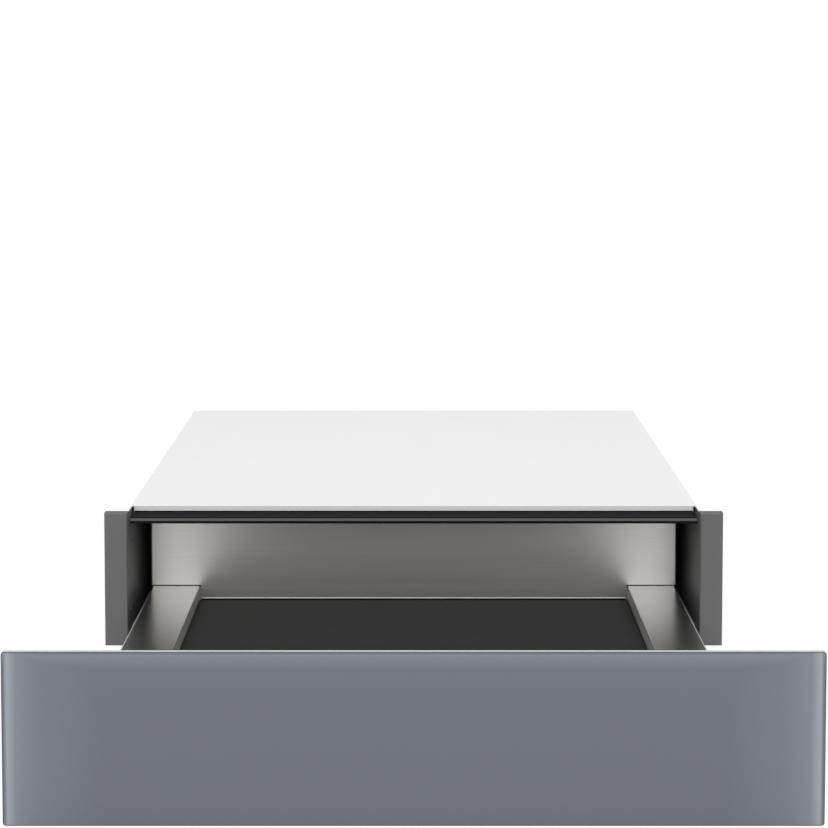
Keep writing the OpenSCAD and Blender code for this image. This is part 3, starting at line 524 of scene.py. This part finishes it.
class StudioStage(bpy.types.Operator):
    """Sets the pale floor, the soft lights, the world and the camera"""

    bl_idname = "storage_drawer.stage"
    bl_label = "Studio stage"

    def execute(self, context):
        self.floor(context)
        self.world(context)
        self.lights(context)
        self.camera(context)
        context.scene.view_settings.view_transform = "Standard"
        return {"FINISHED"}

    def floor(self, context):
        bm = bmesh.new()
        bmesh.ops.create_circle(bm, cap_ends=True, segments=96, radius=FLOOR_RADIUS,
                                matrix=Matrix.Translation((0, 0, -FLOOR_DROP)))
        mesh = bpy.data.meshes.new("studio_floor")
        bm.to_mesh(mesh)
        bm.free()
        floor = bpy.data.objects.new("studio_floor", mesh)
        context.scene.collection.objects.link(floor)
        # Seamless white paper. What sees it directly gets mostly plain white, so the object's
        # shadow stays as a soft grey
        material, tree, shader = new_material(
            "seamless_paper", {"Base Color": srgb("#e8e8e8"), "Roughness": 0.9,
                               "Specular IOR Level": 0.0})
        path = add(tree, "ShaderNodeLightPath")
        seen = add(tree, "ShaderNodeMath", {0: path.outputs["Is Camera Ray"],
                                            1: path.outputs["Is Glossy Ray"]}, operation="MAXIMUM")
        seen = add(tree, "ShaderNodeMath", {0: seen.outputs[0],
                                            1: path.outputs["Is Transmission Ray"]}, operation="MAXIMUM")
        share = add(tree, "ShaderNodeMath", {0: seen.outputs[0], 1: 0.85}, operation="MULTIPLY")
        white = add(tree, "ShaderNodeEmission", {"Color": (1.0, 1.0, 1.0, 1.0), "Strength": 1.04})
        mixed = add(tree, "ShaderNodeMixShader", {0: share.outputs[0], 1: shader.outputs[0],
                                                  2: white.outputs[0]})
        tree.links.new(mixed.outputs[0], tree.nodes["Material Output"].inputs["Surface"])
        mesh.materials.append(material)

    def world(self, context):
        world = bpy.data.worlds.new("studio_world")
        world.use_nodes = True
        tree = world.node_tree
        path = add(tree, "ShaderNodeLightPath")
        # The camera sees plain white. What shines mirrors a studio that is white in front and
        # darker behind the object
        incoming = add(tree, "ShaderNodeNewGeometry").outputs["Incoming"]
        axes = add(tree, "ShaderNodeSeparateXYZ", {"Vector": incoming})
        mirrored = add(tree, "ShaderNodeMapRange",
                       {"Value": axes.outputs["Y"], "From Min": 0.1, "From Max": -0.7,
                        "To Min": 1.0, "To Max": 0.35})
        level = add(tree, "ShaderNodeMix", {0: path.outputs["Is Glossy Ray"], 2: 0.9,
                                            3: mirrored.outputs["Result"]})
        level = add(tree, "ShaderNodeMix", {0: path.outputs["Is Camera Ray"], 2: level.outputs[0],
                                            3: 1.0})
        background = tree.nodes["Background"]
        background.inputs["Color"].default_value = (1.0, 1.0, 1.0, 1.0)
        tree.links.new(level.outputs[0], background.inputs["Strength"])
        context.scene.world = world

    def lights(self, context):
        # name, place, what it faces, width, height, watts
        lamps = (
            ("overhead_softbox", (0.0, -0.5, 2.6), (0.0, -0.3, 0.0), 3.0, 3.0, 27.0),
            ("front_softbox", (0.0, -3.6, 1.5), (0.0, -0.3, 0.05), 4.0, 2.2, 36.0),
        )
        for name, place, target, width, height, watts in lamps:
            lamp = bpy.data.lights.new(name, "AREA")
            lamp.shape = "RECTANGLE"
            lamp.size = width
            lamp.size_y = height
            lamp.energy = watts
            holder = bpy.data.objects.new(name, lamp)
            aim = Vector(target) - Vector(place)
            turn = aim.to_track_quat("-Z", "Y").to_matrix().to_4x4()
            holder.matrix_world = Matrix.Translation(place) @ turn
            holder.visible_camera = False
            context.scene.collection.objects.link(holder)

    def camera(self, context):
        lens = bpy.data.cameras.new("photo_camera")
        lens.lens = 76.85
        lens.sensor_width = 36.0
        lens.sensor_fit = "HORIZONTAL"
        lens.shift_x = 0.0004
        lens.shift_y = -0.28
        lens.clip_start = 0.05
        holder = bpy.data.objects.new("photo_camera", lens)
        holder.location = CAMERA_PLACE
        holder.rotation_euler = (math.radians(90) - CAMERA_DIP, 0.0, 0.0)
        context.scene.collection.objects.link(holder)
        context.scene.camera = holder


class CarriedFinishes(bpy.types.Operator):
    """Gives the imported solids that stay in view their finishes"""

    bl_idname = "storage_drawer.finishes"
    bl_label = "Finishes"

    SLOTS = {
        "galvanised_steel": "galvanised", "lid_white": "lid", "casing_grey": "casing",
        # Slot rail_black also covers the drawer floor, whose black enamel stands in for the shade in the
        # gaps round the mat: painted shade
        "rail_black": "rail", "brushed_stainless": "brushed_x", "slide_steel": "slide",
        "ball_steel": "cage", "fastener_steel": "fastener", "mat_rubber": "mat",
        "panel_glass": "glass", "bond_tape": "tape", "bumper_rubber": "bumper",
        "latch_plastic": "latch", "plunger_plastic": "plunger",
    }

    def execute(self, context):
        sizes, colours = drawer_settings(context)
        make_finishes(colours, sizes)
        for part in frame["record"]["subparts"]:
            node = frame["nodes"][part["node"]]
            finish = FINISHES[self.SLOTS[part["material_slot"]]]
            for slot in node.material_slots:
                slot.material = finish
        return {"FINISHED"}


class FrontGlass(bpy.types.Operator):
    """Glass panel with rounded corners, a polished arris and enamel on its back"""

    bl_idname = "storage_drawer.front_glass"
    bl_label = "Front glass"

    def execute(self, context):
        sizes = context.scene.drawer_sizes
        low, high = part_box("front_glass")
        bm = slab(low, high)
        rounded(bm, [edge for edge in bm.edges if runs_along(edge, 1)], sizes.glass_corner, steps=8)
        rims = [edge for edge in bm.edges if lies_at(edge, 1, low.y) or lies_at(edge, 1, high.y)]
        rounded(bm, rims, sizes.glass_arris, steps=1)
        # The front arris gets the dark copy of the polished edge as painted shade, the other edges the
        # light copy as painted light
        edge, back, arris = 1, 2, 3
        for face in bm.faces:
            front = min(vert.co.y for vert in face.verts) < low.y + CLOSE
            if front and not lies_at(face, 1, low.y):
                face.material_index = arris
            elif not front:
                face.material_index = back if lies_at(face, 1, high.y) else edge
        finished(bm, "glass_panel", ("glass", "glass_edge", "enamel", "glass_arris"), "drawer",
                 "panel_glass", "front_glass")
        return {"FINISHED"}


class SideLedges(bpy.types.Operator):
    """Stainless ledges along the drawer's sides, folded down at both edges"""

    bl_idname = "storage_drawer.side_ledges"
    bl_label = "Side ledges"

    def execute(self, context):
        sizes = context.scene.drawer_sizes
        for side in ("left", "right"):
            low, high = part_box("side_ledge_" + side)
            inner, outer = (high.x, low.x) if side == "left" else (low.x, high.x)
            # The skirt goes on to the drawer's back under the ledge, whose own end stops short
            end = high.y - sizes.ledge_stop
            bm = bmesh.new()
            profile = [(inner, low.y, low.z), (inner, low.y, high.z), (outer, low.y, high.z),
                       (outer, low.y, high.z - sizes.fold_depth)]
            pull(bm, sheet_edge(bm, profile), (0, end - low.y, 0))
            folds = [edge for edge in bm.edges
                     if runs_along(edge, 1) and lies_at(edge, 2, high.z)]
            rounded(bm, folds, sizes.fold, sizes.fold_steps)
            thicken(bm, sizes.sheet, Vector((0, 0, 1)))
            # The inner skirt is brushed more coarsely than the ledge, and the outer fold gets a
            # lighter, duller copy of the stainless as a painted highlight
            bm.normal_update()
            outward = -1 if side == "left" else 1
            skirt, fold = 1, 2
            for face in bm.faces:
                if lies_at(face, 0, inner):
                    face.material_index = skirt
                elif face.normal.z > 0.1 and face.normal.x * outward > 0.1:
                    face.material_index = fold
            finished(bm, "ledge_" + side, ("brushed_y", "ledge_skirt", "ledge_fold_painted_highlight"), "drawer",
                     "brushed_stainless", "side_ledge_" + side)
        return {"FINISHED"}


class DrawerBack(bpy.types.Operator):
    """Stainless back wall of the drawer with its edges folded away from the front"""

    bl_idname = "storage_drawer.drawer_back"
    bl_label = "Drawer back"

    def execute(self, context):
        sizes = context.scene.drawer_sizes
        low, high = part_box("drawer_back")
        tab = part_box("side_ledge_right")[0].x
        depth = high.y - low.y
        bm = bmesh.new()
        sheet_edge(bm, [(low.x, low.y, low.z), (high.x, low.y, low.z)])
        pull(bm, bm.edges[:], (0, 0, high.z - low.z))
        for place, direction in (((-tab, 0, 0), (1, 0, 0)), ((tab, 0, 0), (1, 0, 0)),
                                 ((0, 0, sizes.back_fold), (0, 0, 1))):
            cut(bm, place, direction)
        spare = [face for face in bm.faces
                 if abs(face.calc_center_median().x) > tab
                 and face.calc_center_median().z < sizes.back_fold]
        bmesh.ops.delete(bm, geom=spare, context="FACES")
        rim = [edge for edge in bm.edges
               if edge.is_boundary and min(vert.co.z for vert in edge.verts) > sizes.back_fold - CLOSE]
        pull(bm, rim, (0, depth, 0))
        folds = [edge for edge in bm.edges if not edge.is_boundary
                 and (edge in rim or (runs_along(edge, 1) and len(edge.link_faces) == 2
                                      and edge.calc_face_angle(0) > FOLD_ANGLE))]
        rounded(bm, folds, sizes.fold, sizes.fold_steps)
        thicken(bm, sizes.sheet, Vector((0, -1, 0)))
        finished(bm, "drawer_back_wall", ("brushed_x",), "drawer", "brushed_stainless", "drawer_back")
        return {"FINISHED"}


class MatAndStrip(bpy.types.Operator):
    """Rubber mat on the drawer's floor and the bright strip behind it"""

    bl_idname = "storage_drawer.mat"
    bl_label = "Mat and strip"

    def execute(self, context):
        sizes = context.scene.drawer_sizes
        low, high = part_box("anti_slip_mat")
        bm = slab(low, high)
        rounded(bm, [edge for edge in bm.edges if runs_along(edge, 2)], sizes.mat_corner, steps=6)
        rounded(bm, [edge for edge in bm.edges if lies_at(edge, 2, high.z)], sizes.mat_edge, steps=3)
        finished(bm, "rubber_mat", ("mat",), "drawer", "mat_rubber", "anti_slip_mat")
        low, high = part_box("mat_retaining_strip")
        # Upright against the drawer back and rounded in front, on a foot in the gap behind the mat
        # that gets the rail's black enamel as painted shade
        lip = high.y - sizes.strip_edge
        foot = low.z + sizes.strip_foot
        bm = bar(low, high, [(low.y, low.z), (low.y, foot), (lip, foot), (lip, high.z),
                             (high.y, high.z), (high.y, low.z)])
        front = [edge for edge in bm.edges
                 if runs_along(edge, 0) and lies_at(edge, 1, lip) and lies_at(edge, 2, high.z)]
        rounded(bm, front, sizes.strip_round, sizes.fold_steps)
        # Faces below the rounding, the foot and the lower front, get the black enamel: painted shade
        for face in bm.faces:
            if max(vert.co.z for vert in face.verts) < high.z - sizes.strip_round + CLOSE:
                face.material_index = 1
        finished(bm, "mat_strip", ("strip", "rail"), "drawer", "brushed_stainless", "mat_retaining_strip")
        return {"FINISHED"}


class CasingSides(bpy.types.Operator):
    """Casing sides, each with a flange in front that is folded back at its edges"""

    bl_idname = "storage_drawer.casing_sides"
    bl_label = "Casing sides"

    def execute(self, context):
        sizes = context.scene.drawer_sizes
        for side in ("left", "right"):
            low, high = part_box("casing_side_" + side)
            sign = -1 if side == "left" else 1
            wall = high.x if side == "left" else low.x
            edge_x = low.x if side == "left" else high.x
            back = low.y + sizes.flange_depth
            bm = slab(Vector((min(wall, edge_x), low.y, low.z)), Vector((max(wall, edge_x), back, high.z)))
            bmesh.ops.delete(bm, geom=[face for face in bm.faces if lies_at(face, 1, back)],
                             context="FACES_ONLY")
            # The side behind the flange stops under the casing's top
            seam = next(edge for edge in bm.edges if runs_along(edge, 2) and lies_at(edge, 1, back)
                        and lies_at(edge, 0, wall))
            top = max(seam.verts, key=lambda vert: vert.co.z)
            corner = bmesh.utils.edge_split(seam, top, sizes.sheet / (high.z - low.z))[1]
            seam = [edge for edge in corner.link_edges if top not in edge.verts]
            pull(bm, seam, (0, high.y - back, 0))
            web = [face for face in bm.faces if max(vert.co.y for vert in face.verts) > back + CLOSE]
            outline = list(web[0].edges)
            bmesh.ops.delete(bm, geom=web, context="FACES_ONLY")
            middle = (low.z + high.z) / 2
            for z in (middle - sizes.niche_spacing / 2, middle + sizes.niche_spacing / 2):
                place = Matrix.Translation((wall, low.y + sizes.niche_depth, z)) @ Matrix.Rotation(
                    math.pi / 2, 4, "Y")
                ring = bmesh.ops.create_circle(bm, segments=24, radius=sizes.niche_hole, matrix=place)
                outline += {edge for vert in ring["verts"] for edge in vert.link_edges}
            bmesh.ops.triangle_fill(bm, edges=outline, use_beauty=True)
            rounded(bm, [edge for edge in bm.edges if lies_at(edge, 1, low.y)], sizes.fold,
                    sizes.fold_steps)
            thicken(bm, sizes.sheet, Vector((-sign, 0, 0)))
            finished(bm, "casing_wall_" + side, ("casing",), "casing", "casing_grey",
                     "casing_side_" + side)
        return {"FINISHED"}


class TopRail(bpy.types.Operator):
    """Dark rail across the casing's front, with a rolled lower edge"""

    bl_idname = "storage_drawer.top_rail"
    bl_label = "Top front rail"

    def execute(self, context):
        sizes = context.scene.drawer_sizes
        low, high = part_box("top_front_rail")
        sheet = sizes.sheet
        # The sheet is drawn along its inner side. Its lower edge is rolled forwards, and the roll's
        # back is flush with that side
        inner = low.y + 2 * sizes.bead
        face = inner - sheet
        centre = inner - sizes.bead
        profile = [(high.y - sheet, high.z - sizes.rail_back), (high.y - sheet, high.z - sheet),
                   (inner, high.z - sheet), (inner, low.z + sizes.bead)]
        bm = bmesh.new()
        sheet_edge(bm, [(low.x, y, z) for y, z in profile])
        start = [vert for vert in bm.verts if abs(vert.co.z - low.z - sizes.bead) < CLOSE]
        bmesh.ops.spin(bm, geom=start, cent=(low.x, centre, low.z + sizes.bead), axis=(1, 0, 0),
                       dvec=(0, 0, 0), angle=-ROLL_ANGLE, steps=ROLL_STEPS, use_merge=False)
        pull(bm, bm.edges[:], (high.x - low.x, 0, 0))
        folds = [edge for edge in bm.edges if runs_along(edge, 0) and lies_at(edge, 2, high.z - sheet)]
        rounded(bm, folds, sizes.fold - sheet, sizes.fold_steps)
        thicken(bm, -sheet, Vector((0, 0, -1)))
        # The upper side of the rolled edge gets a lighter enamel as a painted highlight
        for part in bm.faces:
            middle = part.calc_center_median()
            if middle.y < face - CLOSE and middle.z > low.z + 1.2 * sizes.bead:
                part.material_index = 1
        finished(bm, "rail_strip", ("rail", "rail_bead_painted_highlight"), "casing", "rail_black", "top_front_rail")
        return {"FINISHED"}


class CasingTop(bpy.types.Operator):
    """White top of the casing, which lies on its sides, with hems inside them"""

    bl_idname = "storage_drawer.casing_top"
    bl_label = "Casing top"

    def execute(self, context):
        sizes = context.scene.drawer_sizes
        low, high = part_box("casing_top")
        inside = high.x - sizes.sheet
        front = low.y + sizes.lid_start
        foot_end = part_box("top_front_rail")[1].x
        bm = bmesh.new()
        sheet_edge(bm, [(low.x, low.y, high.z), (high.x, low.y, high.z)])
        pull(bm, bm.edges[:], (0, high.y - low.y, 0))
        cuts = [((x, 0, 0), (1, 0, 0)) for x in (-inside, -foot_end, foot_end, inside)]
        for place, direction in cuts + [((0, front, 0), (0, 1, 0))]:
            cut(bm, place, direction)
        spare = [face for face in bm.faces if abs(face.calc_center_median().x) < inside
                 and face.calc_center_median().y < front]
        bmesh.ops.delete(bm, geom=spare, context="FACES")
        # In front it is folded down to the rail and back again
        edge = [edge for edge in bm.edges if lies_at(edge, 1, front)
                and max(abs(vert.co.x) for vert in edge.verts) < foot_end + CLOSE]
        edge = pull(bm, edge, (0, 0, -sizes.rail_drop))
        pull(bm, [part for part in edge if lies_at(part, 2, high.z - sizes.rail_drop)],
             (0, sizes.lid_foot, 0))
        thicken(bm, sizes.sheet, Vector((0, 0, 1)))
        under = high.z - sizes.sheet
        span = (sizes.sheet, high.y - sizes.hem_end - low.y - sizes.hem_start, under - low.z)
        for side in (-1, 1):
            middle = (side * (inside - sizes.sheet / 2), low.y + sizes.hem_start + span[1] / 2,
                      (under + low.z) / 2)
            bmesh.ops.create_cube(bm, size=1.0, matrix=Matrix.LocRotScale(middle, None, span))
        finished(bm, "casing_lid", ("lid",), "casing", "lid_white", "casing_top")
        return {"FINISHED"}


class LatchSpring(bpy.types.Operator):
    """Spring of the push latch, copied from the imported coil with its vertices merged"""

    bl_idname = "storage_drawer.latch_spring"
    bl_label = "Latch spring"

    def execute(self, context):
        coil = merged_copy("latch_coil", "spring", "casing", "fastener_steel", "latch_spring")
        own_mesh(coil)
        return {"FINISHED"}


class BallCages(bpy.types.Operator):
    """Ball cages of both slides, with the poles of their balls closed"""

    bl_idname = "storage_drawer.ball_cages"
    bl_label = "Ball cages"

    def execute(self, context):
        for place in ("outer", "inner"):
            for side in ("left", "right"):
                node = f"ball_cage_{place}_{side}"
                merged_copy(f"cage_with_balls_{place}_{side}", "cage", node, "ball_steel", node)
        return {"FINISHED"}


PIECES = (FrontGlass, SideLedges, DrawerBack, MatAndStrip, CasingSides, TopRail, CasingTop,
          LatchSpring, BallCages)
OPERATORS = (StudioStage, CarriedFinishes) + PIECES


class DrawerPanel(bpy.types.Panel):
    """Lists the drawer's pieces, sizes and colours"""

    bl_idname = "VIEW3D_PT_storage_drawer"
    bl_label = "Built-in storage drawer"
    bl_space_type = "VIEW_3D"
    bl_region_type = "UI"
    bl_category = "Drawer"

    def draw(self, context):
        for operator in OPERATORS:
            self.layout.operator(operator.bl_idname)
        for group in drawer_settings(context):
            for name in group.bl_rna.properties.keys():
                if name not in ("rna_type", "name"):
                    self.layout.prop(group, name)


CLASSES = (DrawerSizes, DrawerColours) + OPERATORS + (DrawerPanel,)


def register():
    for cls in CLASSES:
        bpy.utils.register_class(cls)
    bpy.types.Scene.drawer_sizes = PointerProperty(type=DrawerSizes)
    bpy.types.Scene.drawer_colours = PointerProperty(type=DrawerColours)


def unregister():
    del bpy.types.Scene.drawer_colours
    del bpy.types.Scene.drawer_sizes
    for cls in reversed(CLASSES):
        bpy.utils.unregister_class(cls)


def main():
    register()
    for operator in OPERATORS:
        group, name = operator.bl_idname.split(".")
        getattr(getattr(bpy.ops, group), name)()
    bpy.context.view_layer.update()


if __name__ == "__main__":
    main()
